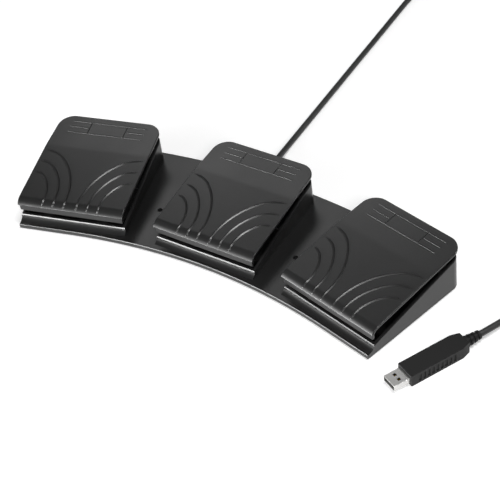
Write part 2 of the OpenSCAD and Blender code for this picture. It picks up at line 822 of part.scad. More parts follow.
module rubber_feet() {
    color(dark_rubber) for (p = stations, foot = feet) station(p) translate([foot.x, foot.y, 0])
        cylinder(d = foot_d, h = base_gap + foot_sunk);
}

module base_screws() {
    color(steel) for (p = stations, post = posts) station(p) translate([post.x, post.y, base_gap]) {
        cylinder(r = screw_head_r, h = screw_head_h);
        cylinder(r = screw_r, h = post_h - base_gap - post_cap - screw_end);
    }
}

// Boards, switches and leads
module board(p) {
    color(board_green) station(p) difference() {
        translate([-board_half(p), board_v, board_h]) cube([2 * board_half(p), board_depth(p), board_t]);
        for (post = standoffs(p)) translate([post.x, post.y, 0])
            cylinder(r = board_screw_r + seat_gap, h = tall);
    }
}

module controller_chip() {
    back = board_v + main_d - board_margin;
    color(black_plastic) station(middle) translate([-chip_w / 2, back - chip_w, case_h])
        cube([chip_w, chip_w, chip_h]);
}

module board_screws() {
    shank = board_t + board_gap - screw_end;
    color(steel) for (p = stations, post = standoffs(p)) station(p) translate([post.x, post.y, case_h]) {
        cylinder(r = board_head_r, h = board_head_h);
        translate([0, 0, -shank]) cylinder(r = board_screw_r, h = shank + eps);
    }
}

module switch_case(p) {
    cavity = plunger_in + plunger_out;
    color(black_plastic) station(p) translate([0, switch_v, case_h]) difference() {
        translate([-switch_w / 2, -switch_w / 2, 0]) cube([switch_w, switch_w, switch_h]);
        translate([0, 0, switch_h - cavity]) cylinder(r = plunger_r + plunger_fit, h = tall);
    }
}

module switch_plunger(p) {
    color("white") station(p) translate([0, switch_v, case_h + switch_h - plunger_in])
        cylinder(r = plunger_r, h = plunger_in + plunger_out);
}

module hinge_pins(p) {
    head_u = skirt_u - skirt_t - seat_gap;
    color(steel) station(p) for (s = sides) translate([s * head_u, hinge_v, hinge_h]) rotate([0, s * 90, 0]) {
        cylinder(r = pin_r, h = wall_half - pin_skin - 2 * seat_gap - head_u);
        translate([0, 0, -pin_head_t]) cylinder(r = pin_head_r, h = pin_head_t);
    }
}

module return_spring(p) {
    low = floor_h + seat_gap + wire_d / 2;
    lift = seat_h - seat_gap - wire_d / 2 - low;
    turn_rings = 8;
    mid_r = (spring_d - wire_d) / 2;
    line = [for (i = [0 : spring_turns * turn_rings])
        concat(mid_r * heading(360 * i / turn_rings), [low + lift * i / (spring_turns * turn_rings)])];
    color(steel) station(p) translate([0, spring_v, 0]) tube(line, wire_d / 2, 6);
}

module ribbon_cable(s) {
    r = fan_radius + ribbon_v;
    inner = asin((main_w / 2 + seat_gap) / r) + asin(ribbon_w / 2 / r) * main_w / 2 / r;
    outer = fan_angle - asin((board_w / 2 + seat_gap) / r) - asin(ribbon_w / 2 / r) * board_w / 2 / r;
    color("dimgray") fan() rotate([0, 0, 90 - (s > 0 ? outer : -inner)])
        rotate_extrude(angle = outer - inner, $fn = 200)
        translate([r - ribbon_w / 2, floor_h + ribbon_gap]) square([ribbon_w, ribbon_t]);
}

module ribbon_headers() {
    h = board_gap - ribbon_gap + 2 * seat_gap;
    color("ivory") for (at = [[left, 1], [middle, -1], [middle, 1], [right, -1]]) station(at[0])
        translate([at[1] * (board_half(at[0]) - header_w / 2), ribbon_v, board_h - h / 2])
        cube([header_w, header_d, h], center = true);
}

module usb_wires() {
    back = well_back - seat_gap - collar_t;
    edge = board_v + main_d;
    low = case_h + core_d / 2 + seat_gap;
    module core(i) {
        u = -outlet_u + (i - 1.5) * (core_d + seat_gap);
        tube([[u, back - seat_gap, outlet_h], [u, back - core_d, outlet_h], [u, (back + edge) / 2, low],
            [u, edge, low], [u, edge - 3 * core_d, low]], core_d / 2, 6);
    }
    shades = ["red", "white", "green", "black"];
    for (i = [0 : 3]) color(shades[i]) station(middle) core(i);
}

// Cord
module cable_grommet() {
    inner = neck_l + seat_gap;
    outer = seat_gap + collar_t;
    profile = [
        [0, -inner - collar_t], [collar_r, -inner - collar_t], [collar_r, -inner], [neck_r, -inner],
        [neck_r, seat_gap], [collar_r, seat_gap], [collar_r, outer], [neck_r + seat_gap, outer],
        [tail_r, outer + tail_l], [0, outer + tail_l]
    ];
    color(dark_rubber) translate([-outlet_u, outlet_y, outlet_h]) rotate([-90, 0, 0])
        rotate_extrude() polygon(profile);
}

module cable() {
    color(dark_rubber) tube(cable_line, cord_d / 2, cord_sides);
}

module cable_coil() {
    color(dark_rubber) tube(coil_line, cord_d / 2, coil_sides);
}

module cable_tie() {
    width = coil_r - coil_inner + cord_d + 2 * tie_gap;
    height = coil_layer + cord_d + 2 * tie_gap;
    color("dimgray") translate([coil_x, coil_y, tie_t]) rotate([0, 0, 225])
        translate([coil_inner - cord_d / 2 - tie_gap, tie_w / 2, 0]) rotate([90, 0, 0]) linear_extrude(tie_w)
        difference() {
            translate([-tie_t, -tie_t]) square([width + 2 * tie_t, height + 2 * tie_t]);
            square([width, height]);
        }
}

module plug_lead() {
    color(dark_rubber) tube(lead_line, cord_d / 2, cord_sides);
}

// Plug: the tip is at the origin of its frame and the lead runs off along +Y
module plug_cover() {
    straight = cover_l - cover_taper;
    plan = [[-cover_w / 2, 0], [cover_w / 2, 0], [cover_w / 2, straight], [cover_end_w / 2, cover_l],
        [-cover_end_w / 2, cover_l], [-cover_w / 2, straight]];
    ring = relief_l / (2 * relief_rings + 1);
    function neck_at(s) = relief_r + (relief_end_r - relief_r) * s / relief_l;
    first_grip = (straight - (grips - 1) * grip_step) / 2;
    color(black_plastic) plug_frame() translate([0, shell_out, 0]) difference() {
        union() {
            translate([0, 0, -cover_h / 2]) linear_extrude(cover_h) polygon(plan);
            translate([0, cover_l, 0]) rotate([-90, 0, 0]) rotate_extrude() polygon(concat(
                [[0, -relief_groove], [relief_r, -relief_groove]],
                [for (i = [1 : relief_rings]) each [
                    [neck_at((2 * i - 1) * ring), (2 * i - 1) * ring],
                    [neck_at((2 * i - 1) * ring) - relief_groove, (2 * i - 1) * ring],
                    [neck_at(2 * i * ring) - relief_groove, 2 * i * ring],
                    [neck_at(2 * i * ring), 2 * i * ring]]],
                [[relief_end_r, relief_l], [0, relief_l]]
            ));
        }
        translate([0, shell_in / 2, 0])
            cube([shell_w + 2 * shell_fit, shell_in + 2 * seat_gap, shell_h + 2 * shell_fit], center = true);
        for (s = sides, i = [0 : grips]) translate([s * cover_w / 2, first_grip + (i - 0.5) * grip_step, 0])
            cube([2 * grip_d, grip_step - grip_w, grip_h], center = true);
    }
}

module plug_shell() {
    l = shell_out + shell_in;
    color(steel) plug_frame() difference() {
        translate([-shell_w / 2, 0, -shell_h / 2]) cube([shell_w, l, shell_h]);
        translate([shell_t - shell_w / 2, -1, shell_t - shell_h / 2])
            cube([shell_w - 2 * shell_t, l + 2, shell_h - 2 * shell_t]);
        for (s = sides) translate([s * window_u, window_s, 0])
            cube([window_w, window_w, tall], center = true);
    }
}

module plug_tongue() {
    inner_w = shell_w - 2 * (shell_t + shell_fit);
    inner_h = shell_h - 2 * (shell_t + shell_fit);
    color(black_plastic) plug_frame() translate([-inner_w / 2, tongue_back, -inner_h / 2]) {
        cube([inner_w, shell_out + shell_in - tongue_back, tongue_t]);
        translate([0, shell_out - tongue_back, 0]) cube([inner_w, shell_in, inner_h]);
    }
}

module plug_contacts() {
    low = shell_t + shell_fit - shell_h / 2 + tongue_t;
    front = tongue_back + contact_back;
    color(gold) plug_frame() for (i = [0 : 3])
        translate([(i - 1.5) * contact_step - contact_w / 2, front, low])
        cube([contact_w, shell_out - front, contact_t]);
}

housing();
base_plate();
rubber_feet();
base_screws();
board(middle);  // controller_board
controller_chip();
board(left);  // left_switch_board
board(right);  // right_switch_board
board_screws();
ribbon_cable(left);  // left_ribbon_cable
ribbon_cable(right);  // right_ribbon_cable
ribbon_headers();
usb_wires();
switch_case(left);  // left_switch_case
switch_case(middle);  // middle_switch_case
switch_case(right);  // right_switch_case
hinge_pins(left);  // left_hinge_pins
hinge_pins(middle);  // middle_hinge_pins
hinge_pins(right);  // right_hinge_pins
return_spring(left);  // left_return_spring
return_spring(middle);  // middle_return_spring
return_spring(right);  // right_return_spring
pedal(left);  // left_pedal
pedal(middle);  // middle_pedal
pedal(right);  // right_pedal
switch_plunger(left);  // left_switch_plunger
switch_plunger(middle);  // middle_switch_plunger
switch_plunger(right);  // right_switch_plunger
cable_grommet();
cable();
cable_coil();
cable_tie();
plug_lead();
plug_cover();
plug_shell();
plug_tongue();
plug_contacts();
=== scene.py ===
import math

import bpy
from mathutils import Euler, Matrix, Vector


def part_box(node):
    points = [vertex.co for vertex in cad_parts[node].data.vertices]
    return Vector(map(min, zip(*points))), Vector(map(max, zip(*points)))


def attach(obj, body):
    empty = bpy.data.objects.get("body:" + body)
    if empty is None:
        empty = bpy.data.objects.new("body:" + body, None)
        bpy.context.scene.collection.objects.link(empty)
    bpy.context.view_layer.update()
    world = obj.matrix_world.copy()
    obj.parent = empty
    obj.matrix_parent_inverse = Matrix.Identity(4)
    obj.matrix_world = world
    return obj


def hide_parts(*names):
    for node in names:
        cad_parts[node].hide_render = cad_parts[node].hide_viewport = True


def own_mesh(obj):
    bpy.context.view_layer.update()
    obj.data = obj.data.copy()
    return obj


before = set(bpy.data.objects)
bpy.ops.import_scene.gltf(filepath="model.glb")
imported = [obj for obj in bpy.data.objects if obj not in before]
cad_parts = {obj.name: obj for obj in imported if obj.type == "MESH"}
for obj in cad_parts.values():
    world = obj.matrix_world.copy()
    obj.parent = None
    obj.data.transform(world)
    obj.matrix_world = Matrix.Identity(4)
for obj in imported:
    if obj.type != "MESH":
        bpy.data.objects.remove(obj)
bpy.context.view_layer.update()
bpy.ops.object.select_all(action="DESELECT")
bpy.context.scene.view_settings.view_transform = "Standard"
mm = 0.001
sides = ("left", "middle", "right")
print("frame loaded with", len(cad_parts), "solids")


# small helpers

def hexColor(code):  # sRGB hex to linear
    parts = [int(code[i:i + 2], 16) / 255 for i in (1, 3, 5)]
    linear = [c / 12.92 if c <= 0.04045 else ((c + 0.055) / 1.055) ** 2.4 for c in parts]
    return (*linear, 1.0)


def newObject(name, data):
    thing = bpy.data.objects.new(name, data)
    bpy.context.scene.collection.objects.link(thing)
    return thing


def selectOnly(first, *others):  # the first one becomes the active one
    bpy.ops.object.select_all(action="DESELECT")
    for piece in (first, *others):
        piece.select_set(True)
    bpy.context.view_layer.objects.active = first


def smoothLine(points, steps):  # through every point, as a bent wire would run
    points = [Vector(p) for p in points]
    last = len(points) - 1
    line = []
    for i in range(last):
        a, b, c, d = points[max(i - 1, 0)], points[i], points[i + 1], points[min(i + 2, last)]
        for k in range(steps):
            t = k / steps
            line.append((2 * b + (c - a) * t + (2 * a - 5 * b + 4 * c - d) * t ** 2
                         + (3 * b - a - 3 * c + d) * t ** 3) / 2)
    return line + [points[last]]


def lineLength(line):
    return sum((b - a).length for a, b in zip(line, line[1:]))


def tubeCurve(name, lines, radius, rings):
    data = bpy.data.curves.new(name, "CURVE")
    data.dimensions = "3D"
    data.bevel_depth = 1  # each point carries the radius, so that the curve's own box is right
    data.bevel_resolution = rings
    data.use_fill_caps = True
    for line in lines:
        spline = data.splines.new("POLY")
        spline.points.add(len(line) - 1)
        for point, place in zip(spline.points, line):
            point.co = (*(Vector(place) * mm), 1)
            point.radius = radius * mm
    return newObject(name, data)


# camera, where the photograph was taken from
cameraSet = {
    "place": (489.5, -598.54, 698.32),  # mm
    "turn": (46.924, 6.334, 32.374),  # degrees
    "lens": 101.343, "sensor": 36,  # mm
    "clipEnd": 20,  # m
}
cameraData = bpy.data.cameras.new("photoCamera")
cameraData.sensor_width = cameraSet["sensor"]
cameraData.lens = cameraSet["lens"]
cameraData.clip_end = cameraSet["clipEnd"]
photoCamera = newObject("photoCamera", cameraData)
photoCamera.location = Vector(cameraSet["place"]) * mm
photoCamera.rotation_euler = Euler([math.radians(a) for a in cameraSet["turn"]])
bpy.context.scene.camera = photoCamera
print("camera set")


# finishes: colours are sRGB, sizes of patterns in mm

def addNode(tree, kind, settings=None, links=None):
    node = tree.nodes.new(kind)
    for key, value in (settings or {}).items():
        if isinstance(key, int) or key in node.inputs:
            node.inputs[key].default_value = value
        else:
            setattr(node, key, value)
    for key, source in (links or {}).items():
        tree.links.new(source, node.inputs[key])
    return node


def newFinish(name, settings):
    finish = bpy.data.materials.new(name)
    finish.use_nodes = True
    shader = finish.node_tree.nodes["Principled BSDF"]
    for key, value in settings.items():
        shader.inputs[key].default_value = value
    return finish, finish.node_tree, shader


plasticSet = {
    "ior": 1.53, "bump": 0.35, "blurSpan": 0.06,
    "cloud": 45, "cloudDetail": 3.0, "cloudShare": 0.5,
    "pitDetail": 2.0, "pitShare": 0.5, "pitShift": -0.05,
}


def mouldedPlastic(name, dark, light, roughness, grain, depth, gloss=0.5):
    # moulded in a spark-eroded tool: satin, never quite even, with soft cloudy patches
    # the real grain is too fine to show, so it is drawn at about a millimetre
    finish, tree, shader = newFinish(name, {"IOR": plasticSet["ior"], "Specular IOR Level": gloss})
    place = addNode(tree, "ShaderNodeTexCoord").outputs["Object"]
    pits = addNode(tree, "ShaderNodeTexNoise", {
        "Scale": 1 / mm / grain, "Detail": plasticSet["pitDetail"]}, {"Vector": place})
    cloud = addNode(tree, "ShaderNodeTexNoise", {
        "Scale": 1 / mm / plasticSet["cloud"], "Detail": plasticSet["cloudDetail"]}, {"Vector": place})
    speck = addNode(tree, "ShaderNodeMath", {
        "operation": "MULTIPLY_ADD", 1: plasticSet["pitShare"], 2: plasticSet["pitShift"]},
        {0: pits.outputs["Fac"]})
    share = addNode(tree, "ShaderNodeMath", {
        "operation": "MULTIPLY_ADD", 1: plasticSet["cloudShare"], "use_clamp": True},
        {0: cloud.outputs["Fac"], 2: speck.outputs[0]})
    colour = addNode(tree, "ShaderNodeMix", {
        "data_type": "RGBA", 6: hexColor(dark), 7: hexColor(light)}, {0: share.outputs[0]})
    blur = addNode(tree, "ShaderNodeMapRange", {
        "To Min": roughness - plasticSet["blurSpan"], "To Max": roughness + plasticSet["blurSpan"]},
        {"Value": cloud.outputs["Fac"]})
    bump = addNode(tree, "ShaderNodeBump", {
        "Strength": plasticSet["bump"], "Distance": depth * mm}, {"Height": pits.outputs["Fac"]})
    tree.links.new(colour.outputs[2], shader.inputs["Base Color"])
    tree.links.new(blur.outputs[0], shader.inputs["Roughness"])
    tree.links.new(bump.outputs[0], shader.inputs["Normal"])
    return finish


metalSet = {"stretch": (1, 1, 6), "detail": 3.0, "smoother": 0.08, "rougher": 0.1}


def platedMetal(name, dark, light, roughness, streak):
    # sheet or wire with a plated skin: bright, with fine drawn streaks that blur the reflections
    # the real streaks are too fine to show, so they are drawn at about half a millimetre
    finish, tree, shader = newFinish(name, {"Metallic": 1.0})
    place = addNode(tree, "ShaderNodeTexCoord").outputs["Object"]
    along = addNode(tree, "ShaderNodeMapping", {"Scale": metalSet["stretch"]}, {"Vector": place})
    lines = addNode(tree, "ShaderNodeTexNoise", {
        "Scale": 1 / mm / streak, "Detail": metalSet["detail"]}, {"Vector": along.outputs[0]})
    colour = addNode(tree, "ShaderNodeMix", {
        "data_type": "RGBA", 6: hexColor(dark), 7: hexColor(light)}, {0: lines.outputs["Fac"]})
    blur = addNode(tree, "ShaderNodeMapRange", {
        "To Min": roughness - metalSet["smoother"], "To Max": roughness + metalSet["rougher"]},
        {"Value": lines.outputs["Fac"]})
    tree.links.new(colour.outputs[2], shader.inputs["Base Color"])
    tree.links.new(blur.outputs[0], shader.inputs["Roughness"])
    return finish


# the board's mask and track colours are painted shade: near black, because the boards lie in shade under
# the pedals
boardSet = {
    "ior": 1.5, "roughness": 0.32, "mask": ("#111513", "#0e1110"),
    "track": "#232b27", "trackStep": 8, "trackShare": 0.06,
}


def circuitBoard(name):
    # glass-epoxy board with its mask and tracks painted near black as painted shade, for the shade under
    # the pedals: dark gloss, copper tracks show as slightly paler lines
    finish, tree, shader = newFinish(name, {"IOR": boardSet["ior"], "Roughness": boardSet["roughness"]})
    place = addNode(tree, "ShaderNodeTexCoord").outputs["Object"]
    first, second = [hexColor(code) for code in boardSet["mask"]]
    tracks = addNode(tree, "ShaderNodeTexBrick", {
        "Scale": 1 / mm / boardSet["trackStep"], "Mortar Size": boardSet["trackShare"],
        "Color1": first, "Color2": second, "Mortar": hexColor(boardSet["track"])}, {"Vector": place})
    tree.links.new(tracks.outputs["Color"], shader.inputs["Base Color"])
    return finish


# after the name: dark and light colour, roughness, grain or streak, depth of the grain, gloss if low
finishes = {
    # satin ABS: nearly black, with broad soft reflections
    "pedalAbs": mouldedPlastic("pedalAbsSatin", "#141414", "#1b1b1b", 0.3, 0.9, 0.03),
    # the same ABS with a deeper grain: a little duller
    "housingAbs": mouldedPlastic("housingAbsGrained", "#121212", "#191919", 0.315, 0.9, 0.04),
    # ABS from a rough tool: dull along the bottom edge
    "baseAbs": mouldedPlastic("baseAbsGrained", "#121212", "#181818", 0.4, 0.9, 0.04),
    # extruded soft PVC: dark grey and matt
    "cordPvc": mouldedPlastic("cordPvcJacket", "#202020", "#2b2b2b", 0.5, 1.2, 0.02),
    # soft PVC moulded over the plug: black with hardly any shine
    "plugPvc": mouldedPlastic("plugPvcOvermould", "#171717", "#1f1f1f", 0.5, 0.8, 0.03, 0.22),
    # PBT: deep black in the plug's mouth
    "tonguePbt": mouldedPlastic("tonguePbtBlack", "#0b0b0b", "#111111", 0.5, 0.8, 0.02),
    # nitrile rubber: matt and chalky black
    "feetRubber": mouldedPlastic("feetNitrileRubber", "#101010", "#191919", 0.75, 1.0, 0.05),
    # nylon strap: black with a slight sheen
    "tieNylon": mouldedPlastic("tieNylonBlack", "#131313", "#1d1d1d", 0.38, 0.9, 0.02),
    # PBT case: black and satin
    "switchPbt": mouldedPlastic("switchPbtBlack", "#0f0f10", "#18181a", 0.42, 0.7, 0.02),
    # POM: milky white and smooth
    "plungerPom": mouldedPlastic("plungerPomWhite", "#cfcdc6", "#dedcd6", 0.4, 0.7, 0.02),
    # unfilled nylon: ivory and satin
    "headerNylon": mouldedPlastic("headerNylonIvory", "#d2cbb6", "#e0dac8", 0.45, 0.7, 0.02),
    # PVC sleeving of the inner leads, matt, with its black as painted shade, so that the leads seen through
    # the gaps under the pedals read as shade
    "leadPaintedShade": mouldedPlastic("leadPaintedShadeBlack", "#141416", "#1f2022", 0.5, 1.2, 0.02),
    # moulded epoxy: black and dull
    "chipEpoxy": mouldedPlastic("chipEpoxyBlack", "#0c0c0d", "#151516", 0.55, 0.5, 0.02),
    # nickel on folded steel: pale, with blurred reflections
    "shellNickel": platedMetal("shellNickelPlated", "#c4c4c2", "#dedddb", 0.3, 0.5),
    # gold flash on bronze: warm and bright
    "contactGold": platedMetal("contactGoldPlated", "#c79a3a", "#e0b95c", 0.25, 0.4),
    # zinc plate on steel: grey-white, a little blurred
    "screwZinc": platedMetal("screwZincPlated", "#a9abae", "#c6c8cb", 0.34, 0.5),
    # drawn spring wire: grey with bright lines
    "springSteel": platedMetal("springSteelDrawn", "#8d8f93", "#b4b6ba", 0.3, 0.4),
    # black oxide on turned steel: dark with a low shine
    "pinSteel": platedMetal("pinSteelBlackOxide", "#1d1d1f", "#29292c", 0.4, 0.4),
    # boards: painted shade, near black under the pedals
    "boardPaintedShade": circuitBoard("glassBoardPaintedShade"),
}
nodeFinish = {
    "housing": "housingAbs", "base_plate": "baseAbs", "rubber_feet": "feetRubber",
    "base_screws": "screwZinc", "board_screws": "screwZinc",
    "controller_board": "boardPaintedShade", "controller_chip": "chipEpoxy",
    "left_switch_board": "boardPaintedShade", "right_switch_board": "boardPaintedShade",
    # the inner leads: painted shade, black where they show through the gaps
    "left_ribbon_cable": "leadPaintedShade", "right_ribbon_cable": "leadPaintedShade", "usb_wires": "leadPaintedShade",
    "ribbon_headers": "headerNylon", "cable_grommet": "plugPvc", "cable_tie": "tieNylon",
    "plug_cover": "plugPvc", "plug_shell": "shellNickel", "plug_tongue": "tonguePbt",
    "plug_contacts": "contactGold",
}
for side in sides:
    nodeFinish[side + "_switch_case"] = "switchPbt"
    nodeFinish[side + "_switch_plunger"] = "plungerPom"
    nodeFinish[side + "_hinge_pins"] = "pinSteel"
    nodeFinish[side + "_pedal"] = "pedalAbs"
for nodeName, finishName in nodeFinish.items():
    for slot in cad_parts[nodeName].material_slots:
        slot.material = finishes[finishName]
print("finishes made:", len(finishes))


# hand tools

def choose(piece, kind, test):  # selects vertices or edges whose corners all pass, in mm
    bpy.ops.object.mode_set(mode="EDIT")
    bpy.ops.mesh.select_mode(type=kind)
    bpy.ops.mesh.select_all(action="DESELECT")
    bpy.ops.object.mode_set(mode="OBJECT")
    mesh = piece.data
    good = [test(*(v.co / mm)) for v in mesh.vertices]
    if kind == "VERT":
        for vertex in mesh.vertices:
            vertex.select = good[vertex.index]
    else:
        for edge in mesh.edges:
            edge.select = all(good[i] for i in edge.vertices)
    bpy.ops.object.mode_set(mode="EDIT")


def faceOutward():  # all of the mesh that is open in edit mode
    bpy.ops.mesh.select_all(action="SELECT")
    bpy.ops.mesh.normals_make_consistent(inside=False)


def useModifier(piece, kind, settings):
    bpy.ops.object.mode_set(mode="OBJECT")
    bpy.context.view_layer.objects.active = piece
    modifier = piece.modifiers.new(kind.title(), kind)
    for key, value in settings.items():
        setattr(modifier, key, value)
    bpy.ops.object.modifier_apply(modifier=modifier.name)


def shadeSoft(piece, angle):  # edges bent by more than that, in degrees, stay crisp
    bpy.ops.object.shade_smooth_by_angle(angle=math.radians(angle))
    useModifier(piece, "WEIGHTED_NORMAL", {"keep_sharp": True})


def applyPlace():
    bpy.ops.object.transform_apply(location=True, rotation=True, scale=True)


def addBlock(name, low, high):  # a block between two corners, in mm, left open in edit mode
    bpy.ops.object.select_all(action="DESELECT")
    middle = [(a + b) / 2 * mm for a, b in zip(low, high)]
    bpy.ops.mesh.primitive_cube_add(size=1, location=middle)
    block = bpy.context.object
    block.name = name
    block.scale = [(b - a) * mm for a, b in zip(low, high)]
    applyPlace()
    bpy.ops.object.mode_set(mode="EDIT")
    return block


# softened copies of solids: their mesh is cleaned first, then some edges get a small radius
softening = {
    "merge": 0.005, "longEdge": 5,  # mm
    "sharp": 30, "bent": 1, "flat": 0.02, "shade": 25,  # degrees between faces
    "steps": 4, "chamferDrop": 0.8,  # a chamfer goes down further than in, by that share
}


def pickEdges(piece, sharp, test):  # edges in a band that are sharp, or else long diagonals of a flat face
    bpy.ops.object.mode_set(mode="EDIT")
    bpy.ops.mesh.select_mode(type="EDGE")
    bpy.ops.mesh.select_all(action="DESELECT")
    bpy.ops.mesh.edges_select_sharp(sharpness=math.radians(softening["sharp" if sharp else "bent"]))
    bpy.ops.object.mode_set(mode="OBJECT")
    mesh = piece.data
    found = [edge.select for edge in mesh.edges]
    bpy.ops.object.mode_set(mode="EDIT")
    bpy.ops.mesh.select_all(action="DESELECT")
    bpy.ops.object.mode_set(mode="OBJECT")
    good = [test(*(v.co / mm)) for v in mesh.vertices]
    for edge in mesh.edges:
        a, b = edge.vertices
        isLong = (mesh.vertices[a].co - mesh.vertices[b].co).length > softening["longEdge"] * mm
        wanted = found[edge.index] if sharp else isLong and not found[edge.index]
        edge.select = good[a] and good[b] and wanted
    count = sum(edge.select for edge in mesh.edges)
    bpy.ops.object.mode_set(mode="EDIT")
    return count


def cleanCopy(nodeName, pieceName, inBand):  # triangles merged to flat faces, apart from those in the band
    piece = newObject(pieceName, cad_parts[nodeName].data.copy())
    selectOnly(piece)
    bpy.ops.mesh.customdata_custom_splitnormals_clear()
    bpy.ops.object.mode_set(mode="EDIT")
    bpy.ops.mesh.select_all(action="SELECT")
    bpy.ops.mesh.remove_doubles(threshold=softening["merge"] * mm)
    if pickEdges(piece, False, inBand):
        bpy.ops.mesh.dissolve_edges(use_verts=False)
    bpy.ops.mesh.select_mode(type="FACE")
    bpy.ops.mesh.select_all(action="DESELECT")
    bpy.ops.object.mode_set(mode="OBJECT")
    kept = [inBand(*(v.co / mm)) for v in piece.data.vertices]
    for face in piece.data.polygons:
        face.select = not all(kept[i] for i in face.vertices)
    bpy.ops.object.mode_set(mode="EDIT")
    bpy.ops.mesh.dissolve_limited(angle_limit=math.radians(softening["flat"]), delimit=set())
    return piece


def softened(nodeName, pieceName, finishName, cuts):  # cuts: radius, segments, which corners
    piece = cleanCopy(nodeName, pieceName, lambda x, y, z: any(cut[2](x, y, z) for cut in cuts))
    picked = []
    for radius, segments, test in cuts:
        picked.append(pickEdges(piece, True, test))
        bpy.ops.mesh.bevel(offset=radius * mm, segments=segments, clamp_overlap=segments > 1)
        if segments == 1:  # a steep chamfer: its lower edge goes further down the wall
            bpy.ops.object.mode_set(mode="OBJECT")
            for vertex in piece.data.vertices:
                if vertex.select and not test(*(vertex.co / mm)):
                    vertex.co.z -= softening["chamferDrop"] * radius * mm
            bpy.ops.object.mode_set(mode="EDIT")
    bpy.ops.object.mode_set(mode="OBJECT")
    shadeSoft(piece, softening["shade"])
    piece.data.materials.clear()
    piece.data.materials.append(finishes[finishName])
    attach(piece, "base")
    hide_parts(nodeName)
    print(pieceName, "softened on", picked, "edges, faces:", len(piece.data.polygons))
    return piece


# the cord: out of the back, round behind the view, a tied coil, and in again to the plug
cord = {
    "diameter": 4.5, "rings": 5, "steps": 6,
    "lay": 2.35,  # height of its middle on the floor, where a point gives none
    "exit": (-9.5, 77.528, 7.45),
    "away": [
        (-9.5, 82.028, 7.45), (-10, 88, 6.8), (-11.2, 95, 5.4), (-12.5, 102, 3.9), (-13.6, 111, 2.8),
        (-14.3, 122), (-15, 140), (-16, 165), (-17.2, 195), (-18.6, 230), (-19.9, 265), (-21.2, 298),
        (-22, 328), (-19.2, 354), (-6, 376), (16, 387), (40, 387), (64, 377), (84, 360), (100, 338),
        (112, 314), (123, 291), (135, 272), (150, 260, 2.9), (169, 255.5, 3.85), (173.5, 255.5, 3.85)],
    "back": [
        (210.25, 217.5, 8.85), (210.25, 213, 8.85), (210.4, 198, 7.2), (211.2, 180, 4.4), (213, 160, 2.6),
        (216, 136), (219.6, 110), (223, 84), (225.4, 60), (225.3, 38), (221.2, 18.4, 2.7),
        (215.8, 5.5, 3.8)],
}
coil = {  # winds in for its turns, climbs a layer, and winds out again a quarter turn less
    "x": 178, "y": 222, "inner": 17.25, "pitch": 5, "turns": 3.25, "less": 0.25,
    "low": 3.85, "layer": 5, "rings": 36,
}
plug = {
    "x": 175.3, "y": -77.1, "middle": 4.7,  # the tip and its height
    "heading": 63.2,  # degrees
    "shellWidth": 12, "shellHeight": 4.5, "shellOut": 12.5, "shellRound": 0.3,
    "coverWidth": 15.2, "coverLength": 48.5, "coverHeight": 9.4, "coverRound": 0.7,
    "taper": 6.5, "endWidth": 11, "neck": 12, "band": 0.05,
}


def coilPoint(q):  # q counts the turns
    radius = coil["inner"] + abs(coil["turns"] - q) * coil["pitch"]
    angle = math.radians(90 - 360 * q)
    t = min(max((q - coil["turns"]) * 2 + 0.5, 0), 1)  # the climb takes the half turn at the reversal
    return Vector((coil["x"] + radius * math.cos(angle), coil["y"] + radius * math.sin(angle),
                   coil["low"] + coil["layer"] * t * t * (3 - 2 * t)))


def onFloor(points):
    return [p if len(p) == 3 else (*p, cord["lay"]) for p in points]


def cordLine():
    turn = math.radians(plug["heading"])
    plugAlong = Vector((math.cos(turn), math.sin(turn), 0))
    plugEnd = Vector((plug["x"], plug["y"], plug["middle"])) + plugAlong * (
        plug["shellOut"] + plug["coverLength"] + plug["neck"])
    toPlug = onFloor(cord["back"]) + [plugEnd + plugAlong * cord["diameter"], plugEnd]
    count = round((2 * coil["turns"] - coil["less"]) * coil["rings"])
    loops = [coilPoint(i / coil["rings"]) for i in range(count + 1)]
    away = smoothLine(onFloor([cord["exit"], *cord["away"]]), cord["steps"])
    return away + loops + smoothLine(toPlug, cord["steps"])


def inPlug(x, y):  # across the plug and back from its tip
    turn = math.radians(plug["heading"])
    dx, dy = x - plug["x"], y - plug["y"]
    return dx * math.sin(turn) - dy * math.cos(turn), dx * math.cos(turn) + dy * math.sin(turn)


def onCoverBlock(x, y, z):  # corners of the moulded block, not of its grips or neck
    across, back = inPlug(x, y)
    fromTip = back - plug["shellOut"]
    along = (fromTip - plug["coverLength"] + plug["taper"]) / plug["taper"]
    half = (plug["coverWidth"] - max(along, 0) * (plug["coverWidth"] - plug["endWidth"])) / 2
    outside = abs(abs(across) - half) < plug["band"] or abs(fromTip) < plug["band"]
    return outside and abs(abs(z - plug["middle"]) - plug["coverHeight"] / 2) < plug["band"]


def onShellEdge(x, y, z):
    onSide = abs(abs(inPlug(x, y)[0]) - plug["shellWidth"] / 2) < plug["band"]
    return onSide and abs(abs(z - plug["middle"]) - plug["shellHeight"] / 2) < plug["band"]


usbLine = cordLine()
usbCord = tubeCurve("usbCord", [usbLine], cord["diameter"] / 2, cord["rings"])
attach(usbCord, "base")
usbCord.data.materials.append(finishes["cordPvc"])
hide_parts("cable", "cable_coil", "plug_lead")
plugCover = softened("plug_cover", "plugCover", "plugPvc", [
    (plug["coverRound"], softening["steps"], onCoverBlock)])
plugShell = softened("plug_shell", "plugShell", "shellNickel", [
    (plug["shellRound"], softening["steps"], onShellEdge)])
cordPieces = [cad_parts[n] for n in ("cable_grommet", "cable_tie", "plug_tongue", "plug_contacts")]
cordPieces += [plugCover, plugShell]
print("cord of", round(lineLength(usbLine)), "mm laid out")


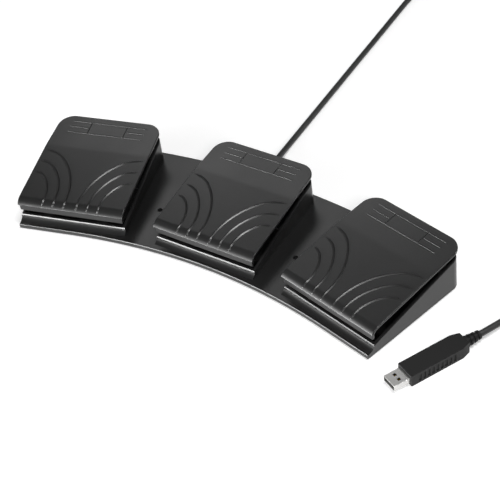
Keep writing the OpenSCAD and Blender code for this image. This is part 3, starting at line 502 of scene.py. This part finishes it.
# pedals: u across, v back from the front edge, z up, in one station of the fan
fan = {"middle": -481.172, "radius": 448.5, "angle": 14.3}  # the angle in degrees
pedal = {
    "width": 86.7, "depth": 94.5, "thick": 2.1, "taper": 0.8, "backHeight": 34,
    "crease": (60, 31), "creaseRound": 1.5, "creaseSteps": 4,  # its v and z
    "cornerRadius": 12, "cornerSteps": 12,
    "rollMiddle": (7.794, 15.1), "rollRadius": 9, "rollSteps": 12,
    "rollTop": 7.447, "rollEnd": 60,  # degrees of slope
    "edge": 0.8, "edgeSteps": 3, "edgeAngle": 40, "shade": 40,
    "merge": 0.01, "near": 1,  # how close a corner counts as the same one, and as on a line
}
ribs = {  # three on each half, counted from the outside
    "count": 3, "step": 8.8, "margin": 3, "shift": 0.8,
    "width": 1.8, "height": 0.5, "top": 0.2, "foot": 0.3,
    "front": 1.1, "climb": (0, 0.25, 0.7, 1.3, 2.2, 3.2, 4.4), "run": 7, "reach": 32.2, "growth": 11.4,
    "bend": 0.72, "arcSteps": 22, "bendSteps": 16, "frontRamp": 4, "endRamp": 5,
}
backLines = {
    "width": 0.7, "height": 0.38, "rings": 3,
    "half": 31.3, "back": 6.3, "depth": 12, "fieldHalf": 15,
}


def rollStart():  # where the roll meets the flat front part
    return pedal["rollMiddle"][0] - pedal["rollRadius"] * math.sin(math.radians(pedal["rollTop"]))


def pedalTop(v):  # height of the top and its slope in radians
    midV, midZ = pedal["rollMiddle"]
    radius = pedal["rollRadius"]
    creaseV, creaseZ = pedal["crease"]
    if v < rollStart():
        return midZ + math.sqrt(radius ** 2 - (v - midV) ** 2), math.asin((midV - v) / radius)
    if v < creaseV:
        slope = math.radians(pedal["rollTop"])
        return creaseZ - (creaseV - v) * math.tan(slope), slope
    slope = math.atan2(pedal["backHeight"] - creaseZ, pedal["depth"] - creaseV)
    return creaseZ + (v - creaseV) * math.tan(slope), slope


def pedalPlate():
    near, depth = pedal["near"], pedal["depth"]
    creaseV, creaseZ = pedal["crease"]
    midV, midZ = pedal["rollMiddle"]
    tangentV = rollStart()
    tangentZ = pedalTop(tangentV)[0]
    bpy.ops.object.select_all(action="DESELECT")
    bpy.ops.mesh.primitive_plane_add(size=1, location=(0, (creaseV + depth) / 2 * mm, creaseZ * mm))
    plate = bpy.context.object
    plate.name = "pedalPlate"
    plate.scale = (pedal["width"] * mm, (depth - creaseV) * mm, 1)
    applyPlace()
    choose(plate, "VERT", lambda u, v, z: v > depth - near)
    bpy.ops.transform.translate(value=(0, 0, (pedal["backHeight"] - creaseZ) * mm))
    narrower = 1 - pedal["taper"] / (pedal["width"] / 2)
    bpy.ops.transform.resize(value=(narrower, 1, 1), center_override=(0, 0, 0))
    choose(plate, "EDGE", lambda u, v, z: v < creaseV + near)  # front part slopes down to the roll
    bpy.ops.mesh.extrude_region_move(TRANSFORM_OT_translate={
        "value": (0, (tangentV - creaseV) * mm, (tangentZ - creaseZ) * mm)})
    choose(plate, "EDGE", lambda u, v, z: v < tangentV + near)  # rolled front edge
    bpy.ops.mesh.spin(steps=pedal["rollSteps"], angle=math.radians(pedal["rollEnd"] - pedal["rollTop"]),
                      center=(0, midV * mm, midZ * mm), axis=(-1, 0, 0))
    choose(plate, "EDGE", lambda u, v, z: abs(v - creaseV) < near)
    bpy.ops.mesh.bevel(offset=pedal["creaseRound"] * mm, segments=pedal["creaseSteps"])
    choose(plate, "VERT", lambda u, v, z: v > depth - near)
    bpy.ops.mesh.bevel(affect="VERTICES", offset=pedal["cornerRadius"] * mm, segments=pedal["cornerSteps"])
    bpy.ops.mesh.select_all(action="SELECT")
    bpy.ops.mesh.remove_doubles(threshold=pedal["merge"] * mm)
    faceOutward()
    bpy.ops.object.mode_set(mode="OBJECT")
    upward = sum(f.normal.z * f.area for f in plate.data.polygons) > 0
    useModifier(plate, "SOLIDIFY", {
        "thickness": pedal["thick"] * mm, "offset": -1 if upward else 1, "use_even_offset": True})
    bpy.ops.object.mode_set(mode="EDIT")
    faceOutward()
    useModifier(plate, "BEVEL", {
        "width": pedal["edge"] * mm, "segments": pedal["edgeSteps"], "limit_method": "ANGLE",
        "angle_limit": math.radians(pedal["edgeAngle"])})
    return plate


def onTop(u, v, sink):  # a point that far under the pedal's top
    z, slope = pedalTop(v)
    return (u, v + sink * math.sin(slope), z - sink * math.cos(slope))


def beadSize(width, height):  # radius and depth of a round wire that stands out by that much
    radius = (height ** 2 + (width / 2) ** 2) / (2 * height)
    return radius, radius - height


def ridgeProfile():  # section of a rib: flat flanks and a narrow top, with its foot under the surface
    half, height, top, foot = ribs["width"] / 2, ribs["height"], ribs["top"] / 2, ribs["foot"]
    wide = half + foot * (half - top) / height
    corners = ((-wide, -foot), (wide, -foot), (top, height), (-top, height))
    data = bpy.data.curves.new("ridgeProfile", "CURVE")
    spline = data.splines.new("POLY")
    spline.points.add(len(corners) - 1)
    spline.use_cyclic_u = True
    for point, (x, y) in zip(spline.points, corners):
        point.co = (x * mm, y * mm, 0, 1)
    return newObject("ridgeProfile", data)


def ribLine(start, reach, side):  # up over the roll, a long arc, a tighter bend to the side, and down
    run, bend = ribs["run"], ribs["bend"] * start
    rise = reach - run
    longRadius = (start ** 2 + rise ** 2 - 2 * rise * bend) / (2 * (start - bend))
    turn = math.atan2(rise - bend, longRadius - start)
    plan = [(start, ribs["front"] + v) for v in ribs["climb"]]
    for i in range(ribs["arcSteps"] + 1):
        angle = turn * i / ribs["arcSteps"]
        plan.append((start - longRadius + longRadius * math.cos(angle), run + longRadius * math.sin(angle)))
    for i in range(1, ribs["bendSteps"] + 1):
        angle = turn + (math.pi / 2 - turn) * i / ribs["bendSteps"]
        plan.append((bend * math.cos(angle), reach - bend + bend * math.sin(angle)))
    inner = ribs["margin"] - pedal["width"] / 2
    return [onTop(side * (x + inner), v, 0) for x, v in plan]


def gripRibs():
    room = pedal["width"] / 2 - ribs["margin"]
    lines = [ribLine(room - (ribs["count"] - i - 0.5) * ribs["step"] - ribs["shift"],
                     ribs["reach"] + i * ribs["growth"] - ribs["shift"], side)
             for side in (-1, 1) for i in range(ribs["count"])]
    curve = tubeCurve("gripRibs", lines, 1, 0)
    curve.data.bevel_mode = "OBJECT"
    curve.data.bevel_object = ridgeProfile()
    curve.data.twist_mode = "Z_UP"
    for spline in curve.data.splines:
        count = len(spline.points)
        for i, point in enumerate(spline.points):  # both ends run out
            point.radius = min(1, (i + 1) / ribs["frontRamp"], (count - i) / ribs["endRamp"])
    return curve


def fineLines():  # at the back: two across, and short ones beside a bare field
    radius, sink = beadSize(backLines["width"], backLines["height"])
    far = pedal["depth"] - backLines["back"]
    near = far - backLines["depth"]
    middle = (near + far) / 2
    half, field, gap = backLines["half"], backLines["fieldHalf"], 2 * backLines["width"]
    lines = [[onTop(-half, v, sink), onTop(half, v, sink)] for v in (near, far)]
    for side in (-1, 1):
        lines.append([onTop(side * field, near, sink), onTop(side * field, far, sink)])
        lines.append([onTop(side * (field + gap), middle, sink), onTop(side * half, middle, sink)])
    return tubeCurve("backLines", lines, radius, backLines["rings"])


underside = {
    "lip": {"half": 42.2, "front": 1.2, "thick": 2.2, "low": 14.2, "high": 20.8},
    "skirt": {"u": 36.95, "thick": 2.2, "front": 7.8, "back": 80, "low": 17.1, "high": 22.6, "rise": 8.56},
    "ear": {"v": 76, "z": 20.5, "radius": 4, "hole": 2.06, "webGap": 0.2, "webRise": 4},
    "hook": {"u": 22, "width": 8, "front": 6, "thick": 2, "low": 6.2, "high": 22},
    "nib": {"depth": 1.6, "thick": 1.1, "sunk": 0.5},
    "boss": {"v": 46, "radius": 4, "high": 27.5, "gap": 0.15},
    "seat": {"v": 23, "radius": 6.6, "low": 19, "high": 24.5},
    "post": {"radius": 3.4, "low": 15.5, "high": 24},
    "edge": 0.4, "fineEdge": 0.3, "edgeSteps": 2, "edgeAngle": 40, "roundSides": 32,
}


def roundEdges(radius):  # of what is selected in edit mode
    bpy.ops.mesh.bevel(offset=radius * mm, segments=underside["edgeSteps"])
    bpy.ops.object.mode_set(mode="OBJECT")


def roundBlock(name, low, high, edge):
    block = addBlock(name, low, high)
    roundEdges(edge)
    return block


def roundPost(name, v, radius, low, high):
    bpy.ops.object.select_all(action="DESELECT")
    bpy.ops.mesh.primitive_cylinder_add(
        vertices=underside["roundSides"], radius=radius * mm, depth=(high - low) * mm,
        location=(0, v * mm, (low + high) / 2 * mm))
    post = bpy.context.object
    post.name = name
    applyPlace()
    choose(post, "EDGE", lambda x, y, z: z < low + pedal["near"])
    roundEdges(underside["edge"])
    return post


def hingeEar(u):
    ear = underside["ear"]
    place = (u * mm, ear["v"] * mm, ear["z"] * mm)
    bpy.ops.object.select_all(action="DESELECT")
    bpy.ops.mesh.primitive_circle_add(vertices=underside["roundSides"], radius=ear["radius"] * mm,
                                      location=place, rotation=(0, math.pi / 2, 0))
    ring = bpy.context.object
    ring.name = "hingeEar"
    applyPlace()
    bpy.ops.object.mode_set(mode="EDIT")
    bpy.ops.mesh.select_all(action="SELECT")
    bpy.ops.mesh.extrude_region_move()
    smaller = ear["hole"] / ear["radius"]
    bpy.ops.transform.resize(value=(1, smaller, smaller), center_override=place)
    useModifier(ring, "SOLIDIFY", {"thickness": underside["skirt"]["thick"] * mm, "offset": 0})
    useModifier(ring, "BEVEL", {
        "width": underside["fineEdge"] * mm, "segments": underside["edgeSteps"], "limit_method": "ANGLE",
        "angle_limit": math.radians(underside["edgeAngle"])})
    return ring


def sidePieces(side):  # a skirt with its hinge ear, and a hook with its nib
    skirt, ear, hook, nib = [underside[key] for key in ("skirt", "ear", "hook", "nib")]
    fine = underside["fineEdge"]
    left, right = [side * skirt["u"] + end * skirt["thick"] / 2 for end in (-1, 1)]
    wall = addBlock("sideSkirt", (left, skirt["front"], skirt["low"]),
                    (right, skirt["back"], skirt["high"]))
    choose(wall, "VERT", lambda x, v, z: v > skirt["back"] - pedal["near"])
    bpy.ops.transform.translate(value=(0, 0, skirt["rise"] * mm))
    bpy.ops.mesh.select_all(action="SELECT")
    roundEdges(underside["edge"])
    web = roundBlock("earWeb", (left, ear["v"] - ear["radius"], ear["z"] + ear["hole"] + ear["webGap"]),
                     (right, ear["v"] + ear["radius"], ear["z"] + ear["radius"] + ear["webRise"]), fine)
    left, right = [side * hook["u"] + end * hook["width"] / 2 for end in (-1, 1)]
    arm = roundBlock("stopHook", (left, hook["front"], hook["low"]),
                     (right, hook["front"] + hook["thick"], hook["high"]), fine)
    tip = roundBlock("hookNib", (left, hook["front"] - nib["depth"], hook["low"]),
                     (right, hook["front"] + nib["sunk"], hook["low"] + nib["thick"]), fine)
    return [wall, hingeEar(side * skirt["u"]), web, arm, tip]


def pedalUnderside():
    lip, boss, seat, post = [underside[key] for key in ("lip", "boss", "seat", "post")]
    parts = [roundBlock("frontLip", (-lip["half"], lip["front"], lip["low"]),
                        (lip["half"], lip["front"] + lip["thick"], lip["high"]), underside["edge"])]
    for side in (-1, 1):
        parts += sidePieces(side)
    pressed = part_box("middle_switch_plunger")[1][2] / mm + boss["gap"]
    parts.append(roundPost("pressBoss", boss["v"], boss["radius"], pressed, boss["high"]))
    parts.append(roundPost("springSeat", seat["v"], seat["radius"], seat["low"], seat["high"]))
    parts.append(roundPost("springPost", seat["v"], post["radius"], post["low"], post["high"]))
    return parts


def makePedal():
    plate = pedalPlate()
    raised = [gripRibs(), fineLines()]
    selectOnly(*raised)
    bpy.ops.object.convert(target="MESH")
    bpy.data.objects.remove(bpy.data.objects["ridgeProfile"])
    bpy.ops.object.mode_set(mode="EDIT")
    faceOutward()
    bpy.ops.object.mode_set(mode="OBJECT")
    under = pedalUnderside()
    selectOnly(plate, *raised, *under)
    bpy.ops.object.join()
    shadeSoft(plate, pedal["shade"])
    plate.data.materials.append(finishes["pedalAbs"])
    return plate


def standAt(piece, station):  # from its own station's frame to the fan
    turn = math.radians(fan["angle"]) * station
    piece.rotation_euler = (0, 0, -turn)
    piece.location = (fan["radius"] * math.sin(turn) * mm,
                      (fan["middle"] + fan["radius"] * math.cos(turn)) * mm, 0)
    selectOnly(piece)
    applyPlace()


def atStations(first, kind):  # the piece and two copies of it, one at each station
    pieces = [first]
    while len(pieces) < len(sides):
        selectOnly(first)
        bpy.ops.object.duplicate(linked=False)
        pieces.append(bpy.context.object)
    for piece, side, station in zip(pieces, sides, (-1, 0, 1)):
        piece.name = side + kind
        standAt(piece, station)
    return list(zip(sides, pieces))


for side, piece in atStations(makePedal(), "Pedal"):
    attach(piece, side + "_pedal")
    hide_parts(side + "_pedal")
print("pedals made")


# return springs: on the real pedal each closes up as its pedal goes down; here each is a fixed coil at the
# height of its solid
spring = {
    "v": 23, "diameter": 11, "wire": 1.1, "rings": 2, "turns": 6, "steps": 24,
    "press": 2.1, "shade": 50,
}


def makeSpring():
    low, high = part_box("middle_return_spring")
    bottom, top = low.z / mm + spring["wire"] / 2, high.z / mm - spring["wire"] / 2
    radius = (spring["diameter"] - spring["wire"]) / 2
    count = spring["turns"] * spring["steps"]
    line = []
    for i in range(count + 1):
        turn = 2 * math.pi * i / spring["steps"]
        line.append((radius * math.cos(turn), spring["v"] + radius * math.sin(turn),
                     bottom + (top - bottom) * i / count))
    wire = tubeCurve("returnSpring", [line], spring["wire"] / 2, spring["rings"])
    selectOnly(wire)
    bpy.ops.object.convert(target="MESH")
    bpy.ops.object.shade_smooth_by_angle(angle=math.radians(spring["shade"]))
    wire.data.materials.append(finishes["springSteel"])
    return wire


for side, piece in atStations(makeSpring(), "ReturnSpring"):
    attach(piece, "base")
    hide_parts(side + "_return_spring")
    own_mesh(piece)
print("springs made")


# housing and base plate: the solids with the small radii that a mould leaves
housing = {  # a band is how far from an edge its corners may lie
    "rimV": 1.6, "rimHeight": 9.3, "backV": 90, "backHeight": 28.4, "rimRound": 0.36, "rimBand": 0.1,
    "flangeV": -3.9, "flangeHeight": 4.4, "flangeRound": 0.17, "flangeBand": 0.05,
    "deckRadius": 542, "deckHeight": 8.8, "deckRound": 0.5, "deckBand": 0.1, "reachBand": 0.2,
}
baseEdges = {"heights": (3, 1), "round": 0.4, "band": 0.02}


def stationV(x, y):  # how far back a point lies in the nearest station
    dy = y - fan["middle"]
    station = max(-1, min(1, round(math.degrees(math.atan2(x, dy)) / fan["angle"])))
    turn = math.radians(fan["angle"]) * station
    return x * math.sin(turn) + dy * math.cos(turn) - fan["radius"]


def onRim(x, y, z):  # top of the pedestals' walls
    rise = (housing["backHeight"] - housing["rimHeight"]) / (housing["backV"] - housing["rimV"])
    height = housing["rimHeight"] + max(stationV(x, y) - housing["rimV"], 0) * rise
    return abs(z - height) < housing["rimBand"]


def onFlange(x, y, z):
    inFront = stationV(x, y) < housing["flangeV"]
    return inFront and abs(z - housing["flangeHeight"]) < housing["flangeBand"]


def onDeckBack(x, y, z):
    reach = math.hypot(x, y - fan["middle"])
    atBack = abs(reach - housing["deckRadius"]) < housing["reachBand"]
    return atBack and abs(z - housing["deckHeight"]) < housing["deckBand"]


def onBaseEdge(x, y, z):
    return any(abs(z - height) < baseEdges["band"] for height in baseEdges["heights"])


softened("housing", "housingShell", "housingAbs", [
    (housing["rimRound"], 1, onRim), (housing["flangeRound"], 1, onFlange),
    (housing["deckRound"], softening["steps"], onDeckBack)])
softened("base_plate", "baseCover", "baseAbs", [
    (baseEdges["round"], softening["steps"], onBaseEdge)])


# floor and light
stage = {
    "size": 8, "floor": "#f2f2f2", "roughness": 0.9, "shine": 0.1,
    "lift": 0.25, "mirror": 0.16, "glow": "#ffffff", "world": 0.07,
}
bpy.ops.object.select_all(action="DESELECT")
bpy.ops.mesh.primitive_plane_add(size=stage["size"], location=(0, 0, 0))
floor = bpy.context.object
floor.name = "floor"
# white paper: matt, and lifted to white for the camera and a little in reflections
floorFinish, floorTree, floorShader = newFinish("floorPaper", {
    "Base Color": hexColor(stage["floor"]), "Emission Color": hexColor(stage["glow"]),
    "Roughness": stage["roughness"], "Specular IOR Level": stage["shine"]})
rays = addNode(floorTree, "ShaderNodeLightPath")
mirrored = addNode(floorTree, "ShaderNodeMath", {"operation": "MAXIMUM"},
                   {0: rays.outputs["Is Glossy Ray"], 1: rays.outputs["Is Transmission Ray"]})
mirror = addNode(floorTree, "ShaderNodeMath", {"operation": "MULTIPLY", 1: stage["mirror"]},
                 {0: mirrored.outputs[0]})
lift = addNode(floorTree, "ShaderNodeMath", {"operation": "MULTIPLY_ADD", 1: stage["lift"]},
               {0: rays.outputs["Is Camera Ray"], 2: mirror.outputs[0]})
floorTree.links.new(lift.outputs[0], floorShader.inputs["Emission Strength"])
floor.data.materials.append(floorFinish)

world = bpy.data.worlds.new("studio")
bpy.context.scene.world = world
world.use_nodes = True
sky = world.node_tree.nodes["Background"]
sky.inputs["Color"].default_value = hexColor(stage["glow"])
sky.inputs["Strength"].default_value = stage["world"]

lamps = [  # all aimed at the origin: place, width and height in m, watts
    ("backSoftbox", (-0.94, 1.05, 1.4), 0.8, 0.4, 2.45),
    ("frontStrip", (-0.85, -1.5, 0.14), 2.1, 0.24, 82),
    ("frontSoftbox", (-0.8, -1.35, 0.62), 2.1, 0.6, 11),
    ("overheadSoftbox", (0.45, 0.07, 1.5), 0.3, 0.66, 13.5),
    ("rightSoftbox", (1.1, 0.9, 0.75), 0.25, 0.25, 4),
    ("cameraSoftbox", (0.9, -0.85, 1.01), 0.2, 0.2, 5),
]
for lampName, place, width, height, watts in lamps:
    bpy.ops.object.light_add(type="AREA", location=place)
    lamp = bpy.context.object
    lamp.name = lampName
    lamp.rotation_euler = (-Vector(place)).to_track_quat("-Z", "Y").to_euler()
    lamp.data.shape = "RECTANGLE"
    lamp.data.size = width
    lamp.data.size_y = height
    lamp.data.energy = watts
bpy.ops.object.select_all(action="DESELECT")
print("floor and light set")

bpy.context.view_layer.update()
